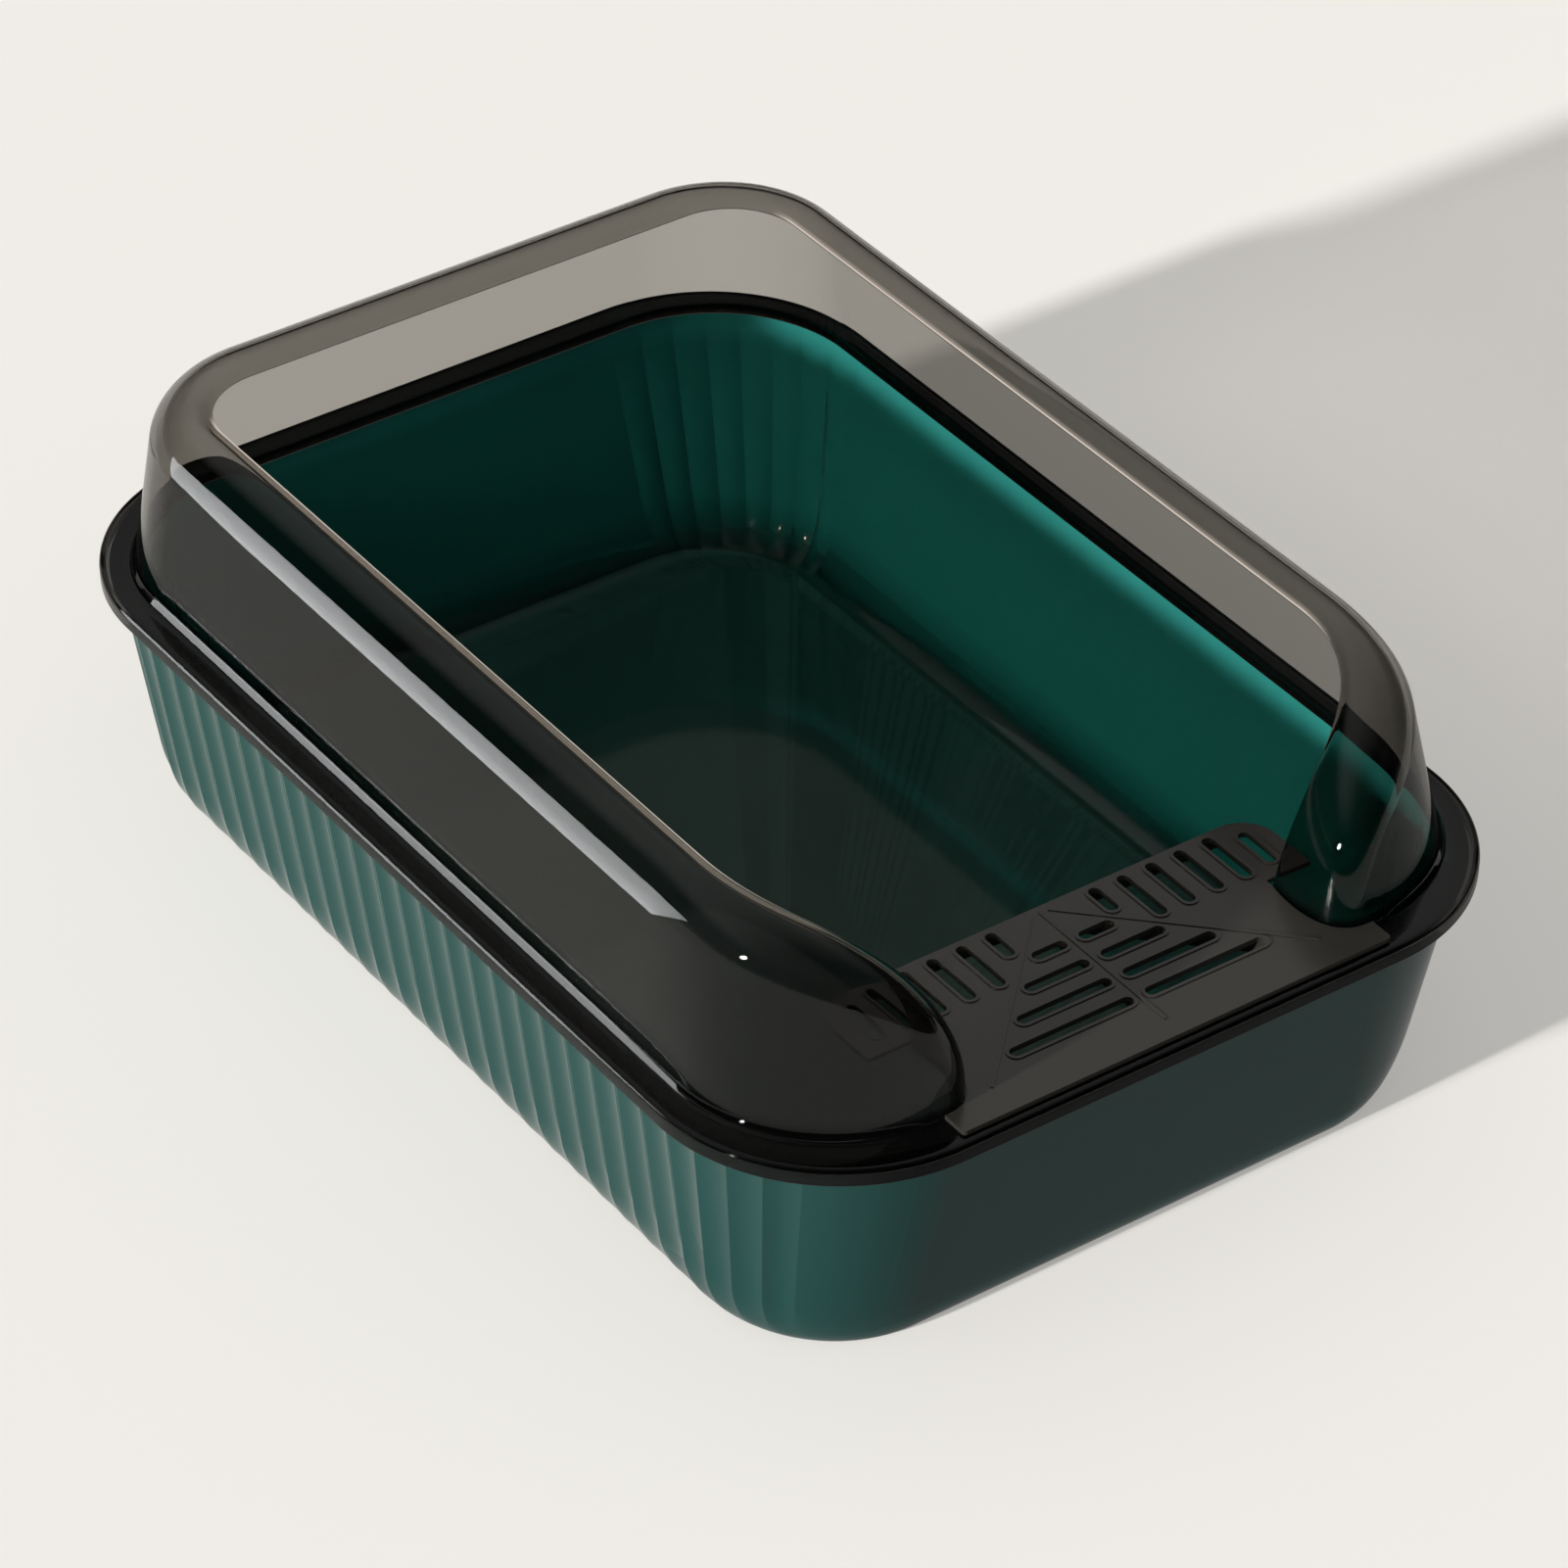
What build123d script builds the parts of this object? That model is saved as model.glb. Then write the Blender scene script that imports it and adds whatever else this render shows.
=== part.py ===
from build123d import *
import os
from math import cos, radians, sin, tan

# Litter tray: a fluted pan, a rolled splash guard on its rim and a slotted step at the entry.
# Millimetres. X is the width, Y the length, the entry faces -Y and the floor is Z = 0.

# Overall
width = 351
length = 520
rim_corner = 78  # plan radius of the guard's skirt

# Pan
pan_height = 105.6
pan_wall = 2.8
side_draft = 7.5  # degrees from upright, long walls
end_draft = 13  # degrees from upright, front and rear walls
pan_inset = 5.5  # pan's outside to the skirt's outside, at the rim
pan_corner = 76
corner_draft = 10.5  # how fast the corner radius shrinks downwards, degrees
bottom_radius = 20
rim_bead = 2.4  # height of the pan's rim bead

# Flutes on the pan
side_flutes = 22  # along each long wall
corner_flutes = 4  # round the first half of each corner
flute_depth = 1.2
arris_rise = 0.1  # the flutes meet this far outside the wall, which leaves narrow lands
smooth_rise = 2  # the cutting outline clears the smooth ends by this much

# Guard's rim
guard_wall = 2.5
flange_wall = 3
skirt_depth = 4.6
skirt_wall = 2.4
running_gap = 0.3
edge_round = 2.4

# Guard's wall: its foot, its lip and the virtual corner between them
foot_inset_side = 14.3
foot_inset_end = 16
foot_corner = 66
lip_inset_side = 42.4
lip_inset_end = 56
lip_corner = 31
lip_height = 180.7
shoulder_inset_side = 22
shoulder_inset_end = 33
shoulder_corner = 56
shoulder_height = 193
roll_drop = 22  # the roll starts this far from the virtual corner
roll_pull = 0.6  # how full the roll is
sink = 1  # the wall's foot runs this far into the flange

# Entry
sweep_start = 150  # distance from the middle where the lip begins to sweep down
sweep_fall = 14  # how far the lip has dropped at the top of the S
wing_reach = 95.5  # from the skirt's side to the wing's free end at the rim
nose_depth = 37.5  # how far each wing's end rolls back behind its front face
nose_lean = 8  # how far the nose's virtual corner overhangs the entry
foot_end = 82  # degrees round the front corner at which the wing's foot ends

# Step
step_wall = 2.4
step_reach = 92  # rear edge to the skirt's front
step_inset = 4.5
crease_width = 1.6
crease_depth = 0.5
ear_reach = 20  # the step's ears go this far behind the wings' ends
margin_reach = 16  # and its front margin this far past them
step_corner = 15
step_gap = 0.6
step_bevel = 0.6
slot_width = 5
last_slot = 11.1  # from the outermost slot to the ear's edge
slot_rows = 4  # on each side of the middle, behind the front rim
slot_columns = 6  # on each side, behind the wings and the rows
first_slot = 23.4  # from the step's rear edge and from its middle
slot_clear = 5.2  # from a slot's end to the diagonal
slot_border = 3
rib = 2.4
rib_drop = 5
hook_drop = 8
shelf = 6.5  # width of the guard's two shelves under the step's ears

# Derived heights
flange_bottom = pan_height
flange_top = flange_bottom + flange_wall
foot_height = flange_top - sink
skirt_bottom = flange_bottom - skirt_depth

# Derived widths
entry_half = width / 2 - wing_reach
step_half = entry_half + ear_reach
step_margin_half = entry_half + margin_reach
slot_pitch = (step_half - last_slot - first_slot) / (slot_columns - 1)


def plan(half_x, half_y, radius, height):
    """Rounded rectangle in plan at one height."""
    return Plane.XY.offset(height) * RectangleRounded(2 * half_x, 2 * half_y, radius)


def rim_plan(inset, height):
    """Plan of the rim, moved in from the skirt's outside."""
    return plan(width / 2 - inset, length / 2 - inset, rim_corner - inset, height)


# Pan: a drafted tub with a radiused bottom, cut by a fluted outline.


def pan_size(height, inward):
    """Half width, half length and corner radius of the pan's wall at one height."""
    drop = pan_height - height
    half_x = width / 2 - pan_inset - drop * tan(radians(side_draft)) - inward
    half_y = length / 2 - pan_inset - drop * tan(radians(end_draft)) - inward
    return half_x, half_y, pan_corner - drop * tan(radians(corner_draft)) - inward


def tub(bottom, inward, round_by):
    """Drafted tub from one height to the rim with its bottom edge rounded."""
    low = plan(*pan_size(bottom, inward), bottom)
    high = plan(*pan_size(pan_height, inward), pan_height)
    body = loft([low, high], ruled=True)
    return fillet(body.faces().sort_by(Axis.Z)[0].edges(), round_by)


def round_corner(half_x, half_y, radius, angle, rise):
    """Point on the rear corner of a rounded rectangle, moved out by rise."""
    turn = radians(angle)
    x = half_x - radius + (radius + rise) * cos(turn)
    y = half_y - radius + (radius + rise) * sin(turn)
    return Vector(x, y)


def fluted_plan(height):
    """Plan of the pan's wall with concave flutes between narrow arrises."""
    size = pan_size(height, 0)
    straight = size[1] - size[2]
    half = side_flutes // 2
    arrises = [Vector(size[0] + arris_rise, straight * k / half) for k in range(half + 1)]
    for k in range(1, corner_flutes + 1):
        arrises.append(round_corner(*size, 45 * k / corner_flutes, arris_rise))
    edges = []
    for first, second in zip(arrises, arrises[1:]):
        chord = second - first
        inward = Vector(-chord.Y, chord.X).normalized()
        middle = (first + second) / 2 + inward * (flute_depth + arris_rise)
        edges.append(Edge.make_three_point_arc(first, middle, second))
    step = round_corner(*size, 45, smooth_rise)
    bend = round_corner(*size, 67.5, smooth_rise)
    crown = round_corner(*size, 90, smooth_rise)
    edges.append(Edge.make_line(arrises[-1], step))
    edges.append(Edge.make_three_point_arc(step, bend, crown))
    edges.append(Edge.make_line(crown, (0, crown.Y)))
    edges += [edge.mirror(Plane.YZ) for edge in edges]
    edges += [edge.mirror(Plane.XZ) for edge in edges]
    return Plane.XY.offset(height) * make_face(Wire(edges))


smooth_tub = tub(0, 0, bottom_radius)
fluted_tub = loft([fluted_plan(0), fluted_plan(pan_height)], ruled=True)
bead_inset = skirt_wall + running_gap
bead = extrude(rim_plan(bead_inset, pan_height - rim_bead), rim_bead)
hollow = tub(pan_wall, pan_wall, bottom_radius - pan_wall)
base_pan = (smooth_tub & fluted_tub) + bead - hollow
base_pan.label = "base_pan"


# Guard: a wall lofted through sections that each lie in the plane of three points.


def rail_point(inset_side, inset_end, radius, height, angle):
    """Point on a rounded rectangle's rear corner, angle in degrees from the side."""
    turn = radians(angle)
    x = width / 2 - inset_side - radius + radius * cos(turn)
    y = length / 2 - inset_end - radius + radius * sin(turn)
    return Vector(x, y, height)


def rear_station(angle):
    """Foot, shoulder and lip of the wall round the rear corner."""
    foot = rail_point(foot_inset_side, foot_inset_end, foot_corner, foot_height, angle)
    shoulder = rail_point(
        shoulder_inset_side, shoulder_inset_end, shoulder_corner, shoulder_height, angle
    )
    lip = rail_point(lip_inset_side, lip_inset_end, lip_corner, lip_height, angle)
    return foot, shoulder, lip


def moved(station, x=None, y=None):
    """The same station with another X or Y."""
    return [Vector(p.X if x is None else x, p.Y if y is None else y, p.Z) for p in station]


side_foot, side_shoulder, side_lip = moved(rear_station(0), y=-sweep_start)
front = -(length / 2 - foot_inset_end)
nose_lip = Vector(entry_half, front + nose_depth, foot_height)
nose_shoulder = Vector(entry_half - nose_lean, front, foot_height)
lip_sweep = Edge.make_bezier(
    side_lip,
    (side_lip.X, nose_lip.Y, side_lip.Z),
    (nose_lip.X + guard_wall * 2, nose_lip.Y - guard_wall * 2, side_lip.Z - sweep_fall),
    nose_lip,
)
shoulder_sweep = Edge.make_bezier(
    side_shoulder,
    (side_shoulder.X, front + foot_inset_side, side_shoulder.Z),
    (nose_shoulder.X - guard_wall, front, side_shoulder.Z - foot_inset_end),
    nose_shoulder,
)


foot_turn = [rear_station(angle)[0] for angle in (0, foot_end / 2, foot_end)]
foot_arc = Edge.make_three_point_arc(*[Vector(p.X, -p.Y, p.Z) for p in foot_turn])
foot_sweep = Wire([Edge.make_line(side_foot, foot_arc @ 0), foot_arc])


def wing_station(share):
    """Foot, shoulder and lip of the wing, share 0 at the side wall and 1 at the nose."""
    return foot_sweep @ (share * (2 - share)), shoulder_sweep @ share, lip_sweep @ share


def roll_path(station, depth):
    """Foot, start, shoulder and lip of the wall's line, moved inwards by depth."""
    foot, shoulder, lip = station
    up = (shoulder - foot).normalized()
    over = (lip - shoulder).normalized()
    normal = up.cross(over).normalized()
    inward = normal.cross(up)
    under = normal.cross(over)
    mitre = (inward + under).normalized() / cos(radians(up.get_angle(over) / 2))
    start = shoulder - up * roll_drop + inward * depth
    return foot + inward * depth, start, shoulder + mitre * depth, lip + under * depth


def roll_curve(start, shoulder, lip):
    """The roll from the straight wall to the lip."""
    first = start + (shoulder - start) * roll_pull
    second = lip + (shoulder - lip) * roll_pull
    return Edge.make_bezier(start, first, second, lip)


def wall_section(station):
    """Closed profile of the wall: straight from the foot, then rolled over to the lip."""
    foot, start, shoulder, lip = roll_path(station, 0)
    inner_foot, inner_start, inner_shoulder, inner_lip = roll_path(station, guard_wall)
    bulge = (lip + inner_lip) / 2 + (lip - shoulder).normalized() * guard_wall / 2
    edges = [
        Edge.make_line(foot, start),
        roll_curve(start, shoulder, lip),
        Edge.make_three_point_arc(lip, bulge, inner_lip),
        roll_curve(inner_start, inner_shoulder, inner_lip),
        Edge.make_line(inner_start, inner_foot),
        Edge.make_line(inner_foot, foot),
    ]
    return Wire(edges)


rear_end = rear_station(90)
side_end = rear_station(0)
side_start = (side_foot, side_shoulder, side_lip)


def wall_length(stations, ruled):
    """One length of the wall lofted through its stations."""
    return Part() + Solid.make_loft([wall_section(station) for station in stations], ruled)


rear_wall = wall_length([moved(rear_end, x=0), rear_end], True)
rear_corner = wall_length([rear_station(90 - 15 * k) for k in range(7)], False)
side_wall = wall_length([side_end, side_start], True)
wing = wall_length([wing_station(k / 10) for k in range(11)], False)
half_wall = rear_wall + rear_corner + side_wall + wing

skirt = extrude(rim_plan(0, skirt_bottom), flange_top - skirt_bottom)
skirt = fillet(skirt.faces().sort_by(Axis.Z)[-1].edges(), edge_round)
recess = extrude(rim_plan(skirt_wall, skirt_bottom), skirt_depth)
mouth_side = foot_inset_side + guard_wall
mouth_end = foot_inset_end + guard_wall
mouth = plan(width / 2 - mouth_side, length / 2 - mouth_end, foot_corner - guard_wall, skirt_bottom)
rim = skirt - recess - extrude(mouth, flange_top)

# Step: a slotted plate round the wings' noses, resting on the rim and on the guard's two shelves.

front_edge = -length / 2 + step_inset
rear_edge = -length / 2 + step_reach
rim_front = -length / 2 + mouth_end
ear_front = nose_lip.Y + guard_wall + step_gap


def block(x_range, y_range, bottom, top):
    """Box given by its limits."""
    size_x = x_range[1] - x_range[0]
    size_y = y_range[1] - y_range[0]
    centre = Vector((x_range[0] + x_range[1]) / 2, (y_range[0] + y_range[1]) / 2, bottom)
    return Location(centre) * extrude(Rectangle(size_x, size_y), top - bottom)


shelf_outer = step_half - running_gap
shelf_arm = block(
    (shelf_outer - shelf, shelf_outer), (ear_front, rear_edge - step_corner), flange_bottom, flange_top
)
shelf_root = block(
    (entry_half, shelf_outer), (ear_front - shelf, ear_front), flange_bottom, flange_top
)
half_guard = half_wall + shelf_arm + shelf_root
splash_guard = rim + half_guard + half_guard.mirror(Plane.YZ)
splash_guard.label = "splash_guard"



def nose_keep_out():
    """Plan of the right wing's end and of all that it encloses, grown by the step's gap."""
    foot, start, shoulder, lip = [Vector(p.X, p.Y) for p in roll_path(wing_station(1), -step_gap)]
    lip_side = Vector(width / 2, lip.Y + guard_wall)
    foot_side = Vector(width / 2, foot.Y)
    edges = [
        Edge.make_line(foot, start),
        roll_curve(start, shoulder, lip),
        Edge.make_line(lip, Vector(lip.X, lip_side.Y)),
        Edge.make_line(Vector(lip.X, lip_side.Y), lip_side),
        Edge.make_line(lip_side, foot_side),
        Edge.make_line(foot_side, foot),
    ]
    return make_face(Wire(edges))


def slot(centre_x, centre_y, reach, turn):
    """Slot in plan with rounded ends."""
    return Location((centre_x, centre_y), (0, 0, turn)) * SlotOverall(reach, slot_width)


ears = Rectangle(2 * step_half, rear_edge - ear_front, align=(Align.CENTER, Align.MAX))
ears = Location((0, rear_edge)) * ears
ears = fillet(ears.vertices().sort_by(Axis.Y)[-2:], step_corner)
tread = Rectangle(2 * step_margin_half, ear_front - front_edge, align=(Align.CENTER, Align.MIN))
keep_out = nose_keep_out()
outline = ears + Location((0, front_edge)) * tread - keep_out - mirror(keep_out, Plane.YZ)

for k in range(slot_rows):
    away = first_slot + slot_pitch * k
    reach = away - slot_clear - slot_border
    for side in (1, -1):
        outline -= slot(side * (slot_border + reach / 2), rear_edge - away, reach, 0)
for k in range(slot_columns):
    away = first_slot + slot_pitch * k
    rear_end_y = rear_edge - slot_border
    front_end_y = max(rear_edge - away, ear_front) + slot_clear
    if k == slot_columns - 1:
        rear_end_y -= slot_width
        front_end_y += slot_width
    reach = rear_end_y - front_end_y
    for side in (1, -1):
        outline -= slot(side * away, (rear_end_y + front_end_y) / 2, reach, 90)

plate = Location((0, 0, flange_top)) * extrude(outline, step_wall)
plate = chamfer(plate.faces().sort_by(Axis.Z)[-1].edges(), step_bevel)
plate_top = flange_top + step_wall
crease_y = rim_front - crease_width
crease_half = entry_half - nose_lean
plate -= block(
    (-crease_half, crease_half), (crease_y - crease_width, crease_y), plate_top - crease_depth, plate_top
)

hook_y = rim_front + running_gap
hook = block((-crease_half, crease_half), (hook_y, hook_y + rib), flange_top - hook_drop, flange_top)
rib_bottom = flange_top - rib_drop
middle_rib = block((-rib / 2, rib / 2), (hook_y, rear_edge), rib_bottom, flange_top)
rear_rib_half = step_half - step_corner
rear_rib = block((-rear_rib_half, rear_rib_half), (rear_edge - rib, rear_edge), rib_bottom, flange_top)
run = rear_edge - hook_y - 2 * rib
diagonal = Location((0, rear_edge - rib, rib_bottom), (0, 0, -45)) * extrude(
    Rectangle(run * 2**0.5, rib, align=(Align.MIN, Align.CENTER)), rib_drop
)
entry_grille = plate + hook + middle_rib + rear_rib + diagonal + diagonal.mirror(Plane.YZ)
entry_grille.label = "entry_grille"

os.makedirs("parts", exist_ok=True)
for node in (base_pan, splash_guard, entry_grille):
    print(node.label, node.is_valid, len(node.solids()), node.volume, node.bounding_box())
    export_step(node, f"parts/{node.label}.step")
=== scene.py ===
"""Litter tray: translucent fluted pan, smoke-clear splash guard and slotted step."""

import math

import bmesh
import bpy
from mathutils import Matrix, Vector


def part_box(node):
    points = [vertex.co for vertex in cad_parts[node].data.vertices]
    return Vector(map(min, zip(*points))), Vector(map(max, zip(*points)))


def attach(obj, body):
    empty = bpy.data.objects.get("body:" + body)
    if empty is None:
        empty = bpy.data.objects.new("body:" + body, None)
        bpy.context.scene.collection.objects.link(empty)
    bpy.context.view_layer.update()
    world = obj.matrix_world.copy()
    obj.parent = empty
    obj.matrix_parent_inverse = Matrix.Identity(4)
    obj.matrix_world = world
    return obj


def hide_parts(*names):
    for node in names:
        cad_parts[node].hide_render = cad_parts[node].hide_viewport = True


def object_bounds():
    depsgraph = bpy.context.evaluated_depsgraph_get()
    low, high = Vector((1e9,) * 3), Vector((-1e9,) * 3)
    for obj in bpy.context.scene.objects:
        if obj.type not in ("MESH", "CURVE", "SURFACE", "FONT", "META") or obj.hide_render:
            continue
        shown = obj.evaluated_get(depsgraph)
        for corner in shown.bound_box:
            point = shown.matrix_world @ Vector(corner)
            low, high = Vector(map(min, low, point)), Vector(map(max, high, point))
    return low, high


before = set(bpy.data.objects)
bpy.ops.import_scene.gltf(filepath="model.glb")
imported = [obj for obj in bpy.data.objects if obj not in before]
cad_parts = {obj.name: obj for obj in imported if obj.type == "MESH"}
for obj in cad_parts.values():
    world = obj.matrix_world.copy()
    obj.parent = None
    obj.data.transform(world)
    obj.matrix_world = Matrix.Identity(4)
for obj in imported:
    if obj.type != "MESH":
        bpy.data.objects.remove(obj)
cad_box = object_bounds()
bpy.ops.object.select_all(action="DESELECT")

MM = 0.001

# Overall sizes in millimetres, from the solids


def node_box(node):
    """A node's lowest and highest corners in millimetres, to a tenth."""
    return [[round(place / MM, 1) for place in corner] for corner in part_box(node)]


HALF_X, HALF_Y = [round(place / MM, 1) for place in cad_box[1][:2]]
PAN_TOP = node_box("base_pan")[1][2]
STEP_LOW, STEP_HIGH = node_box("entry_grille")
EAR_HALF, STEP_REAR = STEP_HIGH[:2]
STEP_FRONT, TREAD_RIB_BOTTOM = STEP_LOW[1:]

# Pan: wall, bottom radius, flutes, and the bead as depth and height

PAN_WALL, PAN_INSET, PAN_CORNER = 2.8, 5.5, 76.0
SIDE_DRAFT, END_DRAFT, CORNER_DRAFT = math.radians(7.5), math.radians(13.0), math.radians(10.5)
BOTTOM_WIDE, BOTTOM_HIGH, INNER_TRIM = 15.0, 28.0, 1.6
END_WIDE, END_HIGH = 4.0, 10.0
FLOOR_INSET = 6.0
BOTTOM_STEPS, END_STEPS = 14, 6
SIDE_FLUTES, CORNER_FLUTES, FLUTE_STEPS = 22, 8, 6
FLUTE_DEPTH, INNER_FLUTE, INNER_FLUTE_TOP = 1.5, 1.5, 95.0
FADE_START, FADE_HIGH, FADE_CURVE = 4.0, 26.0, 0.8
WALL_LEVELS = (48.0, 66.0, 84.0, 100.0, 102.6)
INNER_LEVELS = (100.0, 90.0, 70.0, 44.0)
PAN_SMOOTH = 16
BEAD = (
    (0.2, 103.2),
    (-2.3, 103.2),
    (-2.8, 103.7),
    (-2.8, 105.1),
    (-2.3, PAN_TOP),
    (PAN_WALL - 0.5, PAN_TOP),
    (PAN_WALL, 105.1),
)

# Guard: insets from the outside at side and end, and corner radius, of three curves

FOOT, FOOT_Z = (11.8, 16.0, 66.0), PAN_TOP + 2.0
SHOULDER, SHOULDER_Z = (23.5, 32.5, 54.5), 201.7
LIP, LIP_Z = (42.4, 56.0, 31.0), 180.7
WALL = 2.5
ROLL_DROP, WALL_PULL, LIP_PULL = 35.1, 0.276, 0.504
NOSE_DROP, NOSE_PULL = 22.0, 0.6
ROLL_STEPS, WALL_STEPS, LIP_STEPS = 28, 5, 6
REAR_STATIONS, WING_STATIONS = 24, 48
GUARD_SMOOTH = 35

# Toe: where the wall meets the flange, a wide curve, a steep band and a tight curve

TOE_WIDE, TOE_TURN, TOE_STEPS = 4.0, 6.5, 4
TOE_BAND, TOE_TILT = 1.6, 64.0
TOE_TIGHT, TOE_TIGHT_STEPS = 2.2, 8
TOE_LOW, TOE_RISE, TOE_SLOPE = 0.2, 0.9, 0.5

# Wings: where the lip and the shoulder leave the side and how they come down to the entry

SWEEP_START, SWEEP_FALL, ENTRY_HALF = 150.0, 14.0, 80.0
NOSE_DEPTH, NOSE_LEAN, NOSE_EASE, FOOT_END = 37.5, 8.0, 5.0, 82.0
SHOULDER_X, SHOULDER_TOP = 153.5, 193.0
SHOULDER_BEND, SHOULDER_FALL = 11.8, 16.0

# Lip's painted highlight, emitted in place of a reflection: strength by row from its top, how many
# stations it lasts on the wing, and its two fades

LEFT_HIGHLIGHT, LEFT_REACH = {-1: 0.8, 0: 1.0, 1: 1.0, 2: 0.6}, 24
RIGHT_HIGHLIGHT, RIGHT_REACH = {0: 0.3, 1: 1.0}, 7
HIGHLIGHT_START, HIGHLIGHT_RISE, HIGHLIGHT_FALL = 18, 5, 7

# Flange and skirt: insets and heights round the ring, from the skirt's outside over the top

FLANGE_TOP, RIM_CORNER = PAN_TOP + 3.0, 78.0
RIM_OUTSIDE = (
    (0.3, 101.3),
    (0.0, 101.8),
    (0.0, 106.3),
    (0.25, 107.1),
    (0.8, 107.8),
    (1.6, 108.2),
    (3.0, 108.45),
    (7.0, FLANGE_TOP),
)
HOLE_X, HOLE_Y, HOLE_CORNER = 14.3, 18.5, 63.5
HOLE_EDGE = ((0.4, FLANGE_TOP), (0.0, 108.2), (0.0, 107.9), (2.4, 105.7))
SKIRT_INSIDE = ((2.8, PAN_TOP), (2.4, 105.2), (2.4, 101.4), (2.0, 101.0), (0.7, 101.0))

# Step: plate, slots with their borders, spines and ribs

EAR_FRONT, EAR_OVERLAP, EAR_SQUARE, TREAD_OVERLAP = -203.4, 0.01, 20.0, 10.0
STEP_THICK, BORDER_TOP, SPINE_TOP, SUNK = 1.9, 2.4, 2.3, 1.0
EAR_CORNER, TREAD_HALF, TREAD_CORNER = 15.0, 96.0, 1.5
SLOT_ROWS, SLOT_FIRST, SLOT_PITCH, SLOT_HALF = 6, 23.4, 13.1, 2.5
CROSS_ROWS, CROSS_START, SLOT_GAP, SLOT_END = 4, 3.0, 5.2, 3.0
LAST_REAR, LAST_FRONT = 5.0, 2.0
BORDER, BORDER_CORNER, SLOT_CORNER = 1.3, 3.79, 2.49
SPINE_HALF, SPINE_FRONT, SPINE_START, SPINE_END = 0.6, -246.0, 5.0, 104.0
RIB_HALF, RIB_BOTTOM, RIB_HIGH = 1.2, 103.6, 5.0
TREAD_RIB_Y, TREAD_RIB_HIGH, TREAD_RIB_HALF = -240.0, 8.0, 72.0
REAR_RIB_HALF, SLANT_RIB, RIB_EDGE = 85.0, 96.0, 0.2
NOSE_GAP, NOSE_REAR, NOSE_STEPS = 0.6, 3.1, 24
NOSE_CUT, SLOT_CUT = (98.0, 115.0), (100.0, 20.0)
EAR_STEPS, TREAD_STEPS, SLOT_STEPS = 10, 3, 8
EDGE_ROUND, EDGE_STEPS, EDGE_ANGLE, STEP_SMOOTH = 0.3, 2, 50, 30


# Meshes


def mesh_piece(name, rings, closed_loop=False):
    """Closed mesh skinned over rings that have the same number of points, in millimetres."""
    bm = bmesh.new()
    rows = [[bm.verts.new(Vector(p) * MM) for p in ring] for ring in rings]
    count = len(rows[0])
    pairs = list(zip(rows, rows[1:]))
    if closed_loop:
        pairs.append((rows[-1], rows[0]))
    for low, high in pairs:
        for i in range(count):
            j = (i + 1) % count
            bm.faces.new((low[i], low[j], high[j], high[i]))
    if not closed_loop:
        bm.faces.new(list(reversed(rows[0])))
        bm.faces.new(rows[-1])
    bmesh.ops.recalc_face_normals(bm, faces=bm.faces)
    mesh = bpy.data.meshes.new(name)
    bm.to_mesh(mesh)
    bm.free()
    piece = bpy.data.objects.new(name, mesh)
    bpy.context.scene.collection.objects.link(piece)
    return piece


def only(piece):
    """Select one piece alone and make it active."""
    bpy.ops.object.select_all(action="DESELECT")
    piece.select_set(True)
    bpy.context.view_layer.objects.active = piece


def smooth(piece, degrees):
    """Shade smooth, with edges sharper than the angle left hard."""
    only(piece)
    bpy.ops.object.shade_smooth_by_angle(angle=math.radians(degrees))


def apply_all(piece):
    only(piece)
    for modifier in list(piece.modifiers):
        bpy.ops.object.modifier_apply(modifier=modifier.name)


def even_shading(piece):
    """Large faces set the normals, so that rounded edges don't shade across them."""
    even = piece.modifiers.new("even", "WEIGHTED_NORMAL")
    even.keep_sharp = True
    apply_all(piece)


def boolean(piece, other, operation):
    """Join or cut a piece with another and drop the other."""
    modifier = piece.modifiers.new("join", "BOOLEAN")
    modifier.operation = operation
    modifier.object = other
    modifier.solver = "EXACT"
    apply_all(piece)
    bpy.data.objects.remove(other)


# Pan


def outline(half_x, half_y, radius, z, depth=0.0, corner_depth=None, reach=0.5):
    """Rounded rectangle with flutes on its sides and a share of the way round its corners."""
    corner_depth = depth if corner_depth is None else corner_depth
    straight = half_y - radius

    def scooped(x, y, nx, ny, share, deep):
        scoop = deep * (1 - (2 * share - 1) ** 2)
        return x - nx * scoop, y - ny * scoop, z

    quarter = []
    side_steps = SIDE_FLUTES // 2 * FLUTE_STEPS
    for i in range(side_steps):
        share = i / FLUTE_STEPS % 1
        quarter.append(scooped(half_x, straight * i / side_steps, 1, 0, share, depth))
    corner_steps = CORNER_FLUTES * FLUTE_STEPS
    for i in range(corner_steps):
        angle = math.pi / 2 * i / corner_steps
        nx, ny = math.cos(angle), math.sin(angle)
        share = i / FLUTE_STEPS % 1 if i < corner_steps * reach else 0
        x = half_x - radius + radius * nx
        quarter.append(scooped(x, straight + radius * ny, nx, ny, share, corner_depth))
    quarter += [((half_x - radius) * (1 - i / END_STEPS), half_y, z) for i in range(END_STEPS)]
    quarter.append((0.0, half_y, z))
    points = quarter + [(-x, y, w) for x, y, w in reversed(quarter[1:-1])]
    points += [(-x, -y, w) for x, y, w in quarter]
    points += [(x, -y, w) for x, y, w in reversed(quarter[1:-1])]
    return points


def pan_size(z, inward=0.0, end=None):
    """Half width, half length and corner radius of the pan's wall at one height."""
    drop = PAN_TOP - z
    end = inward if end is None else end
    half_x = HALF_X - PAN_INSET - drop * math.tan(SIDE_DRAFT) - inward
    half_y = HALF_Y - PAN_INSET - drop * math.tan(END_DRAFT) - end
    return half_x, half_y, PAN_CORNER - drop * math.tan(CORNER_DRAFT) - (inward + end) / 2


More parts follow.
